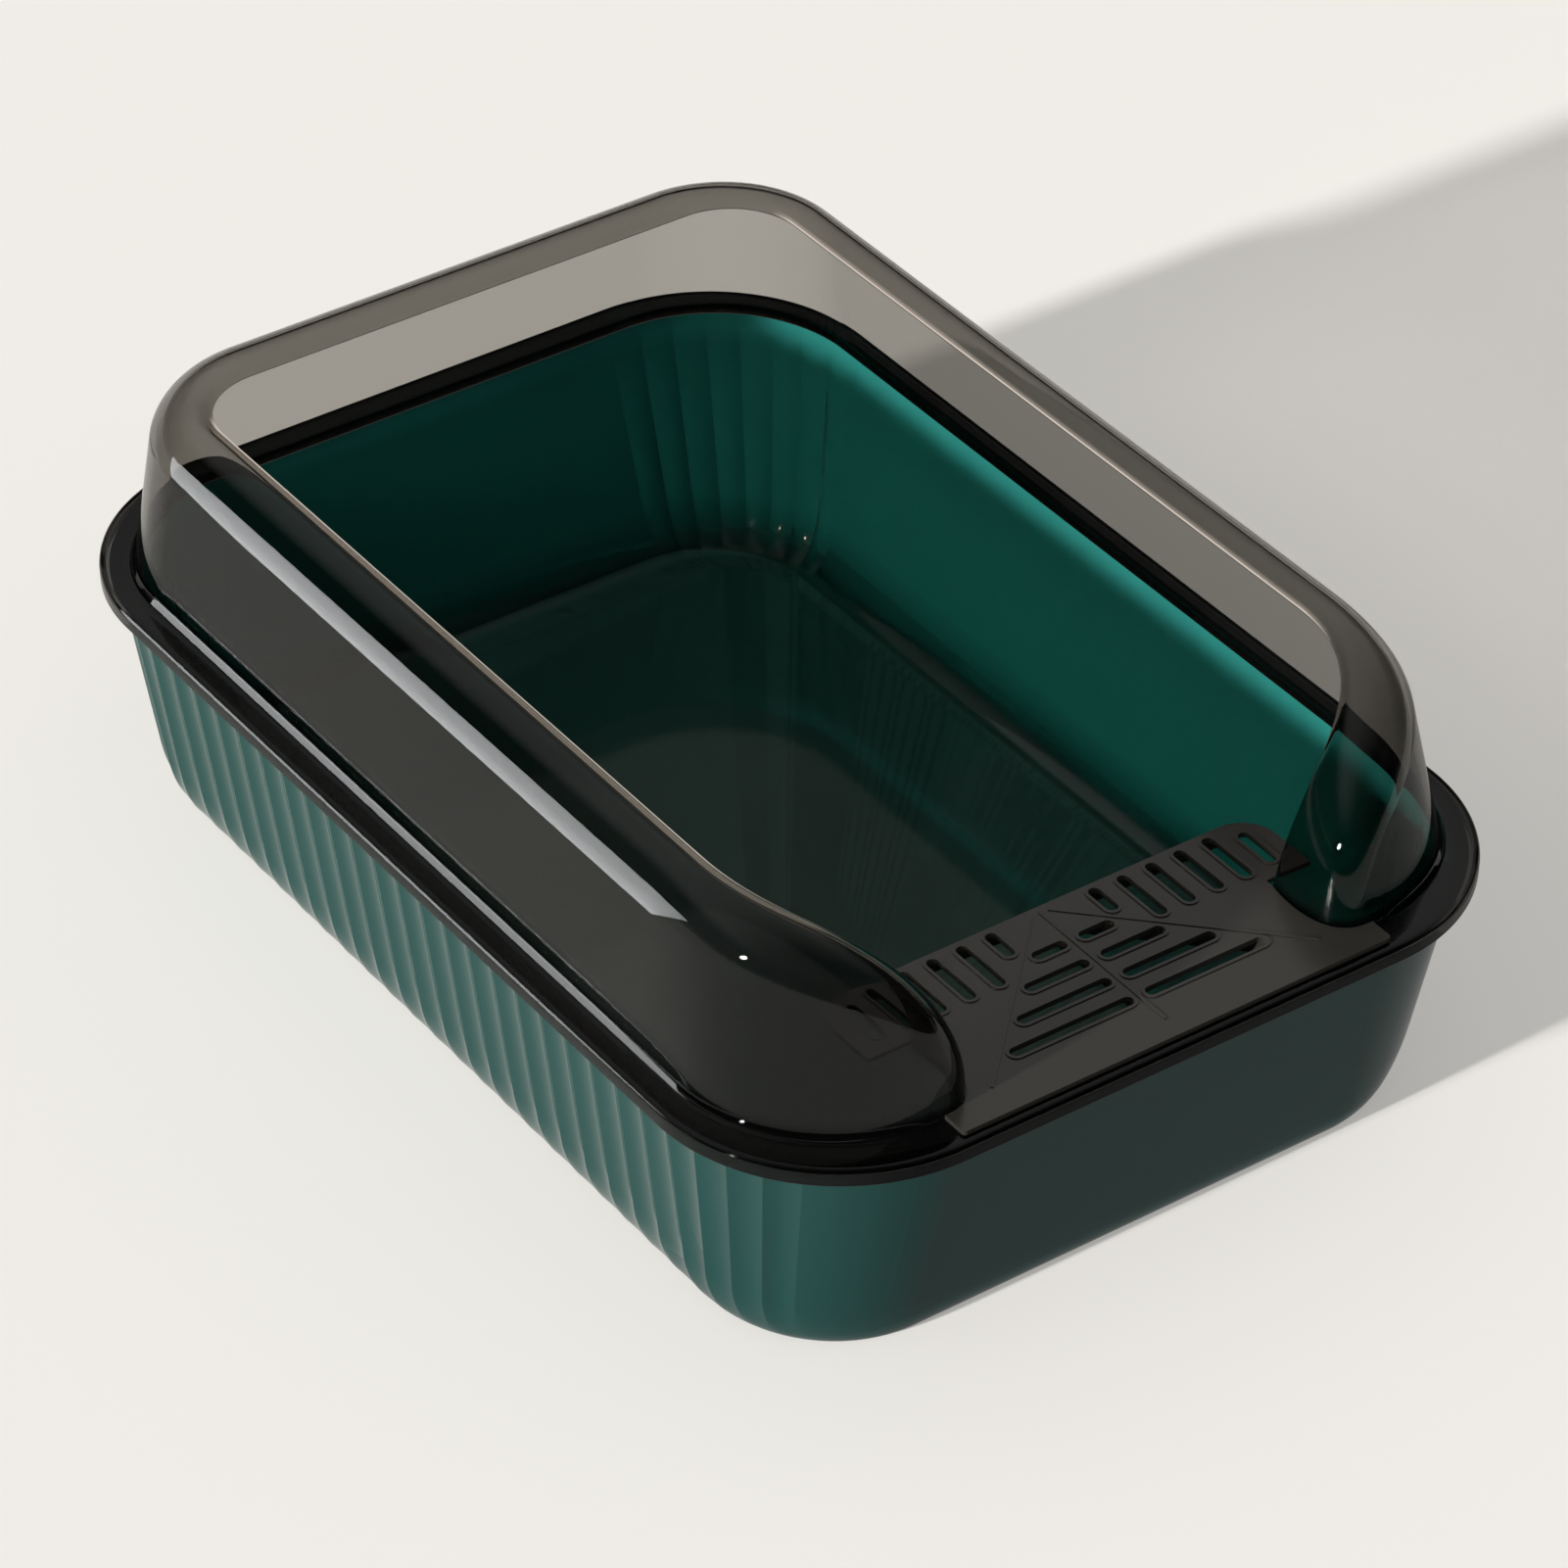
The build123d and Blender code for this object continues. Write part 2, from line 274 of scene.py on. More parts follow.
def build_pan():
    """Pan with a fluted outside, flutes on its inner corners, a rim bead and a bottom radius."""
    turns = [math.pi / 2 * i / BOTTOM_STEPS for i in range(BOTTOM_STEPS + 1)]
    rings = [outline(*pan_size(0, BOTTOM_WIDE + FLOOR_INSET), 0)]
    for turn in turns:
        z = BOTTOM_HIGH * (1 - math.cos(turn))
        fade = min(1.0, max(0.0, z - FADE_START) / FADE_HIGH) ** FADE_CURVE
        end = END_WIDE * (1 - math.sqrt(1 - (1 - min(z / END_HIGH, 1)) ** 2))
        size = pan_size(z, BOTTOM_WIDE * (1 - math.sin(turn)), end)
        rings.append(outline(*size, z, FLUTE_DEPTH * fade))
    for z in WALL_LEVELS:
        rings.append(outline(*pan_size(z), z, FLUTE_DEPTH))
    for inward, z in BEAD:
        rings.append(outline(*pan_size(z, inward), z))
    first_inner = (len(rings) - 1) * len(rings[0])
    for z in INNER_LEVELS:
        depth = INNER_FLUTE if z < INNER_FLUTE_TOP else 0
        rings.append(outline(*pan_size(z, PAN_WALL), z, 0, depth, 1))
    wide, high = BOTTOM_WIDE - INNER_TRIM, BOTTOM_HIGH - PAN_WALL
    for turn in turns:
        z = PAN_WALL + high * (1 - math.sin(turn))
        depth = INNER_FLUTE * max(0.0, math.cos(turn)) ** 0.5
        rings.append(outline(*pan_size(z, PAN_WALL + wide * (1 - math.cos(turn))), z, 0, depth, 1))
    rings.append(outline(*pan_size(PAN_WALL, PAN_WALL + wide + FLOOR_INSET), PAN_WALL))
    pan = mesh_piece("pan_shell", rings)
    inner = pan.data.attributes.new("inner_face", "FLOAT", "POINT")
    for i, value in enumerate(inner.data):
        value.value = 1.0 if i >= first_inner else 0.0
    smooth(pan, PAN_SMOOTH)
    return pan


# Guard


def rail(sizes, z, angle):
    """Point on a rounded rectangle's rear right corner, angle in degrees from the side."""
    inset_x, inset_y, radius = sizes
    turn = math.radians(angle)
    x = HALF_X - inset_x - radius + radius * math.cos(turn)
    y = HALF_Y - inset_y - radius + radius * math.sin(turn)
    return Vector((x, y, z))


def rear_station(angle):
    """Foot, shoulder and lip of the wall at one angle round the rear corner."""
    return rail(FOOT, FOOT_Z, angle), rail(SHOULDER, SHOULDER_Z, angle), rail(LIP, LIP_Z, angle)


def bezier(points, t):
    a, b, c, d = [Vector(p) for p in points]
    s = 1 - t
    return a * s**3 + b * 3 * s * s * t + c * 3 * s * t * t + d * t**3


SIDE = [Vector((p.x, -SWEEP_START, p.z)) for p in rear_station(0)]
FRONT = -(HALF_Y - FOOT[1])
NOSE_LIP = Vector((ENTRY_HALF, FRONT + NOSE_DEPTH, FOOT_Z))
NOSE_SHOULDER = Vector((ENTRY_HALF - NOSE_LEAN, FRONT, FOOT_Z))
LIP_SWEEP = (
    SIDE[2],
    (SIDE[2].x, NOSE_LIP.y, SIDE[2].z),
    (NOSE_LIP.x + NOSE_EASE, NOSE_LIP.y - NOSE_EASE, SIDE[2].z - SWEEP_FALL),
    NOSE_LIP,
)
SHOULDER_SWEEP = (
    (SHOULDER_X, -SWEEP_START, SHOULDER_TOP),
    (SHOULDER_X, FRONT + SHOULDER_BEND, SHOULDER_TOP),
    (NOSE_SHOULDER.x - WALL, FRONT, SHOULDER_TOP - SHOULDER_FALL),
    NOSE_SHOULDER,
)


def ease_out(share):
    """Falls from 1 to 0 and starts and ends level."""
    return 1 - share * share * (3 - 2 * share)


def wing_station(share):
    """Foot, shoulder and lip of the wing, share 0 at the side wall and 1 at the nose."""
    run = HALF_Y - FOOT[1] - FOOT[2] - SWEEP_START
    arc = FOOT[2] * math.radians(FOOT_END)
    distance = (run + arc) * share * (2 - share)
    if distance < run:
        foot = Vector((SIDE[0].x, -SWEEP_START - distance, FOOT_Z))
    else:
        foot = rail(FOOT, FOOT_Z, math.degrees((distance - run) / FOOT[2]))
        foot.y = -foot.y
    shoulder = bezier(SHOULDER_SWEEP, share)
    shoulder += (SIDE[1] - bezier(SHOULDER_SWEEP, 0)) * ease_out(share)
    return foot, shoulder, bezier(LIP_SWEEP, share)


def roll_frame(station):
    """Directions of the wall and the roll at a station: up, over, and the inward ones of each."""
    foot, shoulder, lip = station
    up = (shoulder - foot).normalized()
    over = (lip - shoulder).normalized()
    normal = up.cross(over).normalized()
    return up, over, normal.cross(up), normal.cross(over)


def roll_path(station, depth, steps, fullness):
    """Points from the top of the straight wall round to the lip, a depth inside the outer face."""
    shoulder, lip = station[1:]
    up, over, inward, under = roll_frame(station)
    mitre = (inward + under).normalized() / math.cos(up.angle(over) / 2)
    drop = NOSE_DROP + (ROLL_DROP - NOSE_DROP) * fullness
    low_pull = NOSE_PULL + (WALL_PULL - NOSE_PULL) * fullness
    high_pull = NOSE_PULL + (LIP_PULL - NOSE_PULL) * fullness
    start = shoulder - up * drop + inward * depth
    corner = shoulder + mitre * depth
    end = lip + under * depth
    controls = (start, start.lerp(corner, low_pull), end.lerp(corner, high_pull), end)
    return [bezier(controls, i / steps) for i in range(steps + 1)]


def toe_profile():
    """Points from the flange up to the wall: a tight curve, a steep narrow band, a wide curve."""
    arc = TOE_WIDE * math.radians(TOE_TURN)
    steps = [(arc, 90 - TOE_TURN * (i + 0.5)) for i in range(TOE_STEPS)]
    steps.append((TOE_BAND, TOE_TILT))
    turn = TOE_TILT / TOE_TIGHT_STEPS
    arc = TOE_TIGHT * math.radians(turn)
    steps += [(arc, TOE_TILT - turn * (i + 0.5)) for i in range(TOE_TIGHT_STEPS)]
    out = drop = 0.0
    points = [(out, drop)]
    for length, angle in steps:
        out += length * math.cos(math.radians(angle))
        drop += length * math.sin(math.radians(angle))
        points.append((out, drop))
    return [(x, drop - y) for x, y in reversed(points)]


TOE = toe_profile()
LIP_INDEX = len(TOE) + WALL_STEPS + ROLL_STEPS


def wall_section(station, fullness=1.0):
    """Closed profile: flared toe, straight wall, roll and rounded lip, then back down inside."""
    foot = station[0]
    up, over, inward, under = roll_frame(station)
    toe = TOE[0][0]
    rise = min(TOE_RISE, max(TOE_LOW, (TOE_RISE + toe * inward.z) / max(up.z, TOE_SLOPE)))
    points = [foot - inward * toe]
    points += [foot - inward * out + up * (rise + height) for out, height in TOE]
    outer = roll_path(station, 0, ROLL_STEPS, fullness)
    last = points[-1]
    points += [last.lerp(outer[0], i / WALL_STEPS) for i in range(1, WALL_STEPS)]
    points += outer
    inner = roll_path(station, WALL, ROLL_STEPS, fullness)
    middle = (outer[-1] + inner[-1]) / 2
    for i in range(1, LIP_STEPS):
        turn = math.pi * i / LIP_STEPS
        round_over = over * (WALL / 2 * math.sin(turn))
        points.append(middle + (outer[-1] - middle) * math.cos(turn) + round_over)
    points += reversed(inner)
    inner_foot = foot + inward * WALL
    points += [inner[0].lerp(inner_foot, (i + 1) / WALL_STEPS) for i in range(WALL_STEPS)]
    return points


def painted_lip_highlight(wall, sections):
    """How bright the lip's painted highlight is at each point, by its place, since the boolean
    renumbers points.
    """
    count = len(sections[0])
    wing_start = REAR_STATIONS + 2
    glow = {}
    for i, vertex in enumerate(wall.data.vertices):
        along = abs(i // count - len(sections) + 0.5) - 0.5
        levels, reach = (LEFT_HIGHLIGHT, LEFT_REACH) if vertex.co.x < 0 else (RIGHT_HIGHLIGHT, RIGHT_REACH)
        rise = max(0.0, (along - HIGHLIGHT_START) / HIGHLIGHT_RISE)
        fall = max(0.0, (wing_start + reach - along) / HIGHLIGHT_FALL)
        level = levels.get(i % count - LIP_INDEX, 0) * min(1.0, rise, fall)
        if level:
            glow[vertex.co.copy().freeze()] = level
    return glow


def build_rim():
    """Flange and skirt as one closed ring."""

    def ring(inset_x, inset_y, radius, z):
        return outline(HALF_X - inset_x, HALF_Y - inset_y, radius, z)

    rings = [ring(inset, inset, RIM_CORNER - inset, z) for inset, z in RIM_OUTSIDE]
    rings += [ring(HOLE_X - out, HOLE_Y - out, HOLE_CORNER + out, z) for out, z in HOLE_EDGE]
    rings += [ring(inset, inset, RIM_CORNER - inset, z) for inset, z in SKIRT_INSIDE]
    return mesh_piece("guard_rim", rings, closed_loop=True)


def build_guard():
    """Guard: the rolled wall with its two wings, joined to the flange and skirt."""
    half = [rear_station(90 - 90 * i / REAR_STATIONS) for i in range(REAR_STATIONS + 1)]
    half.append(tuple(SIDE))
    right = [wall_section(station) for station in half]
    for i in range(1, WING_STATIONS + 1):
        share = i / WING_STATIONS
        right.append(wall_section(wing_station(share), ease_out(share)))
    left = [[Vector((-p.x, p.y, p.z)) for p in section] for section in reversed(right)]
    wall = mesh_piece("guard_shell", left + right)
    glow = painted_lip_highlight(wall, right)
    boolean(wall, build_rim(), "UNION")
    # The lip's painted highlight is kept as a mask on the points.
    mask = wall.data.attributes.new("lip_highlight_mask", "FLOAT", "POINT")
    for vertex, value in zip(wall.data.vertices, mask.data):
        value.value = glow.get(vertex.co.copy().freeze(), 0.0)
    smooth(wall, GUARD_SMOOTH)
    even_shading(wall)
    return wall


# Step


def flat(name, low, high, z, thick, corner=0.0, segments=1):
    """Plate between two corners, its upright edges rounded."""
    bpy.ops.object.select_all(action="DESELECT")
    middle = ((low[0] + high[0]) / 2 * MM, (low[1] + high[1]) / 2 * MM, z * MM)
    bpy.ops.mesh.primitive_plane_add(size=1, location=middle)
    piece = bpy.context.object
    piece.name = piece.data.name = name
    piece.scale = ((high[0] - low[0]) * MM, (high[1] - low[1]) * MM, 1)
    bpy.ops.object.transform_apply(location=True, scale=True)
    bpy.ops.object.mode_set(mode="EDIT")
    bpy.ops.mesh.select_all(action="SELECT")
    if corner:
        bpy.ops.mesh.bevel(offset=corner * MM, segments=segments, affect="VERTICES")
    bpy.ops.mesh.select_all(action="SELECT")
    bpy.ops.mesh.extrude_region_move(TRANSFORM_OT_translate={"value": (0, 0, thick * MM)})
    bpy.ops.mesh.select_all(action="SELECT")
    bpy.ops.mesh.normals_make_consistent(inside=False)
    bpy.ops.object.mode_set(mode="OBJECT")
    return piece


def slanted(piece, y, turn):
    """Turn a piece about the upright line through x = 0 and put it at a place along the part."""
    move = Matrix.Translation((0, y * MM, 0))
    piece.data.transform(move @ Matrix.Rotation(turn, 4, "Z"))
    return piece


def join(first, *others):
    bpy.ops.object.select_all(action="DESELECT")
    for other in others:
        other.select_set(True)
    first.select_set(True)
    bpy.context.view_layer.objects.active = first
    bpy.ops.object.join()
    return first


def nose_cutter(side):
    """Upright block with the plan of a wing's end and all that it encloses."""
    points = roll_path(wing_station(1), -NOSE_GAP, NOSE_STEPS, 0)
    rear = NOSE_LIP.y + NOSE_REAR
    points.append(Vector((points[-1].x, rear, 0)))
    points.append(Vector((HALF_X, rear, 0)))
    points.append(Vector((HALF_X, points[0].y, 0)))
    rings = [[(side * p.x, p.y, z) for p in points] for z in NOSE_CUT]
    return mesh_piece("nose_cut", rings)


def step_slots():
    """Corners of every slot: rows that run front to rear, and shorter ones across between them."""
    slots = []
    for row in range(SLOT_ROWS):
        away = SLOT_FIRST + SLOT_PITCH * row
        rear = STEP_REAR - SLOT_END
        front = max(STEP_REAR - away, EAR_FRONT) + SLOT_GAP
        if row == SLOT_ROWS - 1:
            rear -= LAST_REAR
            front += LAST_FRONT
        for side in (1, -1):
            if row < CROSS_ROWS:
                low, high = sorted((side * CROSS_START, side * (away - SLOT_GAP)))
                y = STEP_REAR - away
                slots.append((low, y - SLOT_HALF, high, y + SLOT_HALF))
            slots.append((side * away - SLOT_HALF, front, side * away + SLOT_HALF, rear))
    return slots


def step_plate():
    """Ears and tread as one plate."""
    low, high = (-EAR_HALF, EAR_FRONT - EAR_OVERLAP), (EAR_HALF, STEP_REAR)
    plate = flat("step_plate", low, high, FLANGE_TOP, STEP_THICK, EAR_CORNER, EAR_STEPS)
    low, high = (-EAR_HALF, EAR_FRONT), (EAR_HALF, EAR_FRONT + EAR_SQUARE)
    boolean(plate, flat("ear_square", low, high, FLANGE_TOP, STEP_THICK), "UNION")
    low, high = (-TREAD_HALF, STEP_FRONT), (TREAD_HALF, EAR_FRONT + TREAD_OVERLAP)
    tread = flat("tread", low, high, FLANGE_TOP, STEP_THICK, TREAD_CORNER, TREAD_STEPS)
    boolean(plate, tread, "UNION")
    return plate


def step_borders(slots):
    """Raised borders, one round each slot, as one piece."""
    base, thick = FLANGE_TOP + SUNK, BORDER_TOP - SUNK
    borders = []
    for left, front, right, rear in slots:
        low, high = (left - BORDER, front - BORDER), (right + BORDER, rear + BORDER)
        borders.append(flat("border", low, high, base, thick, BORDER_CORNER, SLOT_STEPS))
    return join(*borders)


def step_spines():
    """Thin raised lines: one down the middle and two slanted ones."""
    base, thick = FLANGE_TOP + SUNK, SPINE_TOP - SUNK
    low, high = (-SPINE_HALF, SPINE_FRONT), (SPINE_HALF, STEP_REAR - SLOT_END)
    spines = [flat("spine", low, high, base, thick)]
    for turn in (-45, -135):
        spine = flat("spine", (SPINE_START, -SPINE_HALF), (SPINE_END, SPINE_HALF), base, thick)
        spines.append(slanted(spine, STEP_REAR, math.radians(turn)))
    return spines


def step_ribs():
    """Ribs underneath: across the tread, down the middle, along the rear edge and slanted."""
    edge = STEP_REAR - RIB_EDGE
    inner_edge = edge - 2 * RIB_HALF
    front, rear = TREAD_RIB_Y - RIB_HALF, TREAD_RIB_Y + RIB_HALF
    low, high = (-TREAD_RIB_HALF, front), (TREAD_RIB_HALF, rear)
    ribs = [
        flat("rib", low, high, TREAD_RIB_BOTTOM, TREAD_RIB_HIGH),
        flat("rib", (-RIB_HALF, front), (RIB_HALF, edge), RIB_BOTTOM, RIB_HIGH),
        flat("rib", (-REAR_RIB_HALF, inner_edge), (REAR_RIB_HALF, edge), RIB_BOTTOM, RIB_HIGH),
    ]
    for turn in (-math.pi / 4, -3 * math.pi / 4):
        rib = flat("rib", (0, -RIB_HALF), (SLANT_RIB, RIB_HALF), RIB_BOTTOM, RIB_HIGH)
        ribs.append(slanted(rib, inner_edge, turn))
    return ribs


def build_step():
    """Slotted step: ears behind the wings, a tread between them and ribs underneath."""
    slots = step_slots()
    plate = step_plate()
    boolean(plate, step_borders(slots), "UNION")
    for spine in step_spines():
        boolean(plate, spine, "UNION")
    for side in (1, -1):
        boolean(plate, nose_cutter(side), "DIFFERENCE")
    cutters = []
    for left, front, right, rear in slots:
        cutters.append(flat("slot", (left, front), (right, rear), *SLOT_CUT, SLOT_CORNER, SLOT_STEPS))
    boolean(plate, join(*cutters), "DIFFERENCE")
    bevel = plate.modifiers.new("edge", "BEVEL")
    bevel.width = EDGE_ROUND * MM
    bevel.segments = EDGE_STEPS
    bevel.limit_method = "ANGLE"
    bevel.angle_limit = math.radians(EDGE_ANGLE)
    apply_all(plate)
    join(plate, *step_ribs())
    smooth(plate, STEP_SMOOTH)
    even_shading(plate)
    return plate


# Shader nodes


def shader(name):
    material = bpy.data.materials.new(name)
    material.use_nodes = True
    tree = material.node_tree
    return material, tree, tree.nodes["Principled BSDF"]


def set_inputs(node, **values):
    """Plain values for a node's inputs, an underscore standing for the space in a name."""
    for name, value in values.items():
        node.inputs[name.replace("_", " ")].default_value = value


def object_place(tree):
    """The piece's own coordinates, and the same split by axis."""
    place = tree.nodes.new("ShaderNodeTexCoord")
    split = tree.nodes.new("ShaderNodeSeparateXYZ")
    tree.links.new(place.outputs["Object"], split.inputs[0])
    return place.outputs["Object"], split.outputs


def attribute(tree, name):
    node = tree.nodes.new("ShaderNodeAttribute")
    node.attribute_name = name
    return node.outputs["Fac"]


def spread(tree, value, low, high, to_low=0.0, to_high=1.0, kind="LINEAR"):
    """A span of values turned into another span."""
    node = tree.nodes.new("ShaderNodeMapRange")
    node.interpolation_type = kind
    set_inputs(node, From_Min=low, From_Max=high, To_Min=to_low, To_Max=to_high)
    tree.links.new(value, node.inputs["Value"])
    return node.outputs[0]


def scaled(tree, colour, amount):
    """A colour, plain or from a node, times a value."""
    node = tree.nodes.new("ShaderNodeVectorMath")
    node.operation = "SCALE"
    if isinstance(colour, tuple):
        node.inputs[0].default_value = colour
    else:
        tree.links.new(colour, node.inputs[0])
    tree.links.new(amount, node.inputs["Scale"])
    return node.outputs[0]


def mixed(tree, share, first, second):
    """Colour that goes from the first to the second, which may come from a node."""
    node = tree.nodes.new("ShaderNodeMix")
    node.data_type = "RGBA"
    low, high = node.inputs[6], node.inputs[7]
    low.default_value = (*first, 1)
    if isinstance(second, tuple):
        high.default_value = (*second, 1)
    else:
        tree.links.new(second, high)
    tree.links.new(share, node.inputs[0])
    return node.outputs[2]


def maths(tree, operation, first, second):
    """One sum on a node's value and either a plain number or another node's value."""
    node = tree.nodes.new("ShaderNodeMath")
    node.operation = operation
    tree.links.new(first, node.inputs[0])
    if isinstance(second, float):
        node.inputs[1].default_value = second
    else:
        tree.links.new(second, node.inputs[1])
    return node.outputs[0]


def rays(tree):
    return tree.nodes.new("ShaderNodeLightPath").outputs


def noise(tree, place, scale):
    node = tree.nodes.new("ShaderNodeTexNoise")
    set_inputs(node, Scale=scale)
    tree.links.new(place, node.inputs["Vector"])
    return node.outputs["Fac"]


# Materials


def let_light_through(tree, shadow):
    """Shadow rays see one even tint, so that light from a lamp comes through the plastic."""
    clear = tree.nodes.new("ShaderNodeBsdfTransparent")
    set_inputs(clear, Color=(*shadow, 1))
    mix = tree.nodes.new("ShaderNodeMixShader")
    tree.links.new(rays(tree)["Is Shadow Ray"], mix.inputs[0])
    tree.links.new(tree.nodes["Principled BSDF"].outputs[0], mix.inputs[1])
    tree.links.new(clear.outputs[0], mix.inputs[2])
    tree.links.new(mix.outputs[0], tree.nodes["Material Output"].inputs["Surface"])


# Smoke plastic: colours with the lip's painted highlight, and in metres the height over which it turns
# nearly black at the flange and the length over which painted shade darkens the wings

SMOKE, SMOKE_FLANGE, SMOKE_DEPTH = (0.70, 0.685, 0.655), (0.13, 0.13, 0.125), (0.3, 0.28, 0.25)
SMOKE_SHADOW, LIP_PAINTED_HIGHLIGHT = (0.33, 0.305, 0.285), (0.62, 0.55, 0.48)
SMOKE_DENSITY, SMOKE_IOR = 240, 1.3
FLANGE_FADE, WING_SHADE_FADE, WING_PAINTED_SHADE = (0.1135, 0.1110), (-0.215, -0.15), 0.62


def smoke_guard():
    """Clear smoke plastic: nearly black in the flange, painted shade in the wings, a painted highlight
    along its lip.
    """
    material, tree, plastic = shader("smoke_guard")
    axes = object_place(tree)[1]
    tone = mixed(tree, spread(tree, axes["Z"], *FLANGE_FADE), SMOKE, SMOKE_FLANGE)
    # Painted shade darkens the wings towards the front, by Y.
    wing_shade = spread(tree, axes["Y"], *WING_SHADE_FADE, WING_PAINTED_SHADE)
    tree.links.new(scaled(tree, tone, wing_shade), plastic.inputs["Base Color"])
    # The bright line along the lip is a painted highlight, emitted through the lip's mask.
    lit = scaled(tree, LIP_PAINTED_HIGHLIGHT, attribute(tree, "lip_highlight_mask"))
    tree.links.new(lit, plastic.inputs["Emission Color"])
    set_inputs(plastic, Emission_Strength=1, Transmission_Weight=1, IOR=SMOKE_IOR, Roughness=0)
    depth = tree.nodes.new("ShaderNodeVolumeAbsorption")
    set_inputs(depth, Color=(*SMOKE_DEPTH, 1), Density=SMOKE_DENSITY)
    tree.links.new(depth.outputs[0], tree.nodes["Material Output"].inputs["Volume"])
    let_light_through(tree, SMOKE_SHADOW)
    return material


# Green plastic: outside, its shadow, how its tone wanders, and inside by height to PAN_HEIGHT, painted
# lighter than outside, with painted light and shade

PAN_OUTSIDE, PAN_SHADOW = (0.0045, 0.041, 0.037), (0.02, 0.05, 0.045)
PAN_CLEAR, PAN_IOR, PAN_ROUGH = 0.2, 1.36, 0.07
CLOUD_SCALE, CLOUD_LOW, CLOUD_HIGH = 9, 0.93, 1.07
PAN_HEIGHT = 0.1
# Inside by height: the floor painted lighter for a reflection, painted shade in the bottom radius, and
# a painted band of sunlight under the rim.
PAN_INSIDE_PAINTED_LIGHT_AND_SHADE = (
    (0.0, (0.004, 0.027, 0.021)),
    (0.031, (0.004, 0.027, 0.021)),
    (0.05, (0.001, 0.012, 0.010)),
    (0.11, (0.003, 0.036, 0.030)),
    (0.24, (0.006, 0.074, 0.063)),
    (0.90, (0.008, 0.082, 0.070)),
    (0.97, (0.013, 0.118, 0.104)),
)


def tinted_pan():
    """Deep green plastic, painted lighter inside than outside; inside, painted light and shade go by
    height from the pan's floor to the rim.
    """
    material, tree, plastic = shader("tinted_pan")
    place, axes = object_place(tree)
    ramp = tree.nodes.new("ShaderNodeValToRGB")
    stops = ramp.color_ramp.elements
    for i, (position, colour) in enumerate(PAN_INSIDE_PAINTED_LIGHT_AND_SHADE):
        stop = stops[i] if i < 2 else stops.new(position)
        stop.position = position
        stop.color = (*colour, 1)
    tree.links.new(spread(tree, axes["Z"], 0, PAN_HEIGHT), ramp.inputs[0])
    # Inside faces take the height ramp of painted light and shade in place of the outside colour.
    tone = mixed(tree, attribute(tree, "inner_face"), PAN_OUTSIDE, ramp.outputs[0])
    cloud = spread(tree, noise(tree, place, CLOUD_SCALE), 0, 1, CLOUD_LOW, CLOUD_HIGH)
    tree.links.new(scaled(tree, tone, cloud), plastic.inputs["Base Color"])
    set_inputs(plastic, Transmission_Weight=PAN_CLEAR, IOR=PAN_IOR, Roughness=PAN_ROUGH)
    let_light_through(tree, PAN_SHADOW)
    return material


# Step's plastic: colour, and its grain's scale, tone, strength and height in metres

STEP_COLOUR, STEP_ROUGH = (0.021, 0.020, 0.0172), 0.22
GRAIN_SCALE, GRAIN_TONES, GRAIN_STRENGTH, GRAIN_HIGH = 1800, (0.85, 1.15), 0.15, 0.0002


def step_plastic():
    """Satin dark grey plastic with a fine grain."""
    material, tree, plastic = shader("step_plastic")
    grain = noise(tree, object_place(tree)[0], GRAIN_SCALE)
    low, high = [tuple(c * tone for c in STEP_COLOUR) for tone in GRAIN_TONES]
    tree.links.new(mixed(tree, grain, low, high), plastic.inputs["Base Color"])
    bump = tree.nodes.new("ShaderNodeBump")
    set_inputs(bump, Strength=GRAIN_STRENGTH, Distance=GRAIN_HIGH)
    tree.links.new(grain, bump.inputs["Height"])
    tree.links.new(bump.outputs[0], plastic.inputs["Normal"])
    set_inputs(plastic, Roughness=STEP_ROUGH)
    return material


pan = build_pan()
guard = build_guard()
step = build_step()
pan.data.materials.append(tinted_pan())
guard.data.materials.append(smoke_guard())
step.data.materials.append(step_plastic())

for piece, node, slot in (
    (pan, "base_pan", "tinted_pan"),
    (guard, "splash_guard", "smoke_guard"),
    (step, "entry_grille", "step_plastic"),
):
    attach(piece, node)
    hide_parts(node)


# Stage, in metres. The dim room goes by direction: low, high and its strength at each

FLOOR_SIZE, FLOOR_COLOUR, FLOOR_TINT = 30, (0.54, 0.53, 0.51, 1), (1.0, 0.98, 0.95, 1)
FLOOR_GLOW, REFLECTED_SHARE = 0.32, 0.25
ROOM_COLOUR, ROOM_LIGHT, DIM_COLOUR = (1.0, 0.98, 0.94, 1), 0.38, (1.0, 0.99, 0.97, 1)
DIM_HEIGHT, DIM_LENGTH = (0.42, 0.62, 0.02, 0.58), (-0.35, 0.35, 0.08, 1.0)
SUN_PLACE, SUN_COLOUR, SUN_LIGHT, SUN_WIDTH = (-3.0, -0.236, 0.891), (1, 0.985, 0.96), 7.2, 2.9


def build_floor():
    """Pale floor that glows a little, less in reflections than to the camera."""
    bpy.ops.object.select_all(action="DESELECT")
    bpy.ops.mesh.primitive_plane_add(size=1, location=(0, 0, 0))
    floor = bpy.context.object
    floor.name = "floor"
    floor.scale = (FLOOR_SIZE, FLOOR_SIZE, 1)
    bpy.ops.object.transform_apply(location=True, scale=True)
    material, tree, paint = shader("pale_floor")
    set_inputs(paint, Base_Color=FLOOR_COLOUR, Roughness=0.9, Specular_IOR_Level=0)
    set_inputs(paint, Emission_Color=FLOOR_TINT)
    path = rays(tree)
    seen = maths(tree, "MAXIMUM", path["Is Camera Ray"], path["Is Transmission Ray"])
    reflected = maths(tree, "MULTIPLY", path["Is Glossy Ray"], REFLECTED_SHARE)
    glow = maths(tree, "MULTIPLY", maths(tree, "MAXIMUM", seen, reflected), FLOOR_GLOW)
    tree.links.new(glow, paint.inputs["Emission Strength"])
    floor.data.materials.append(material)


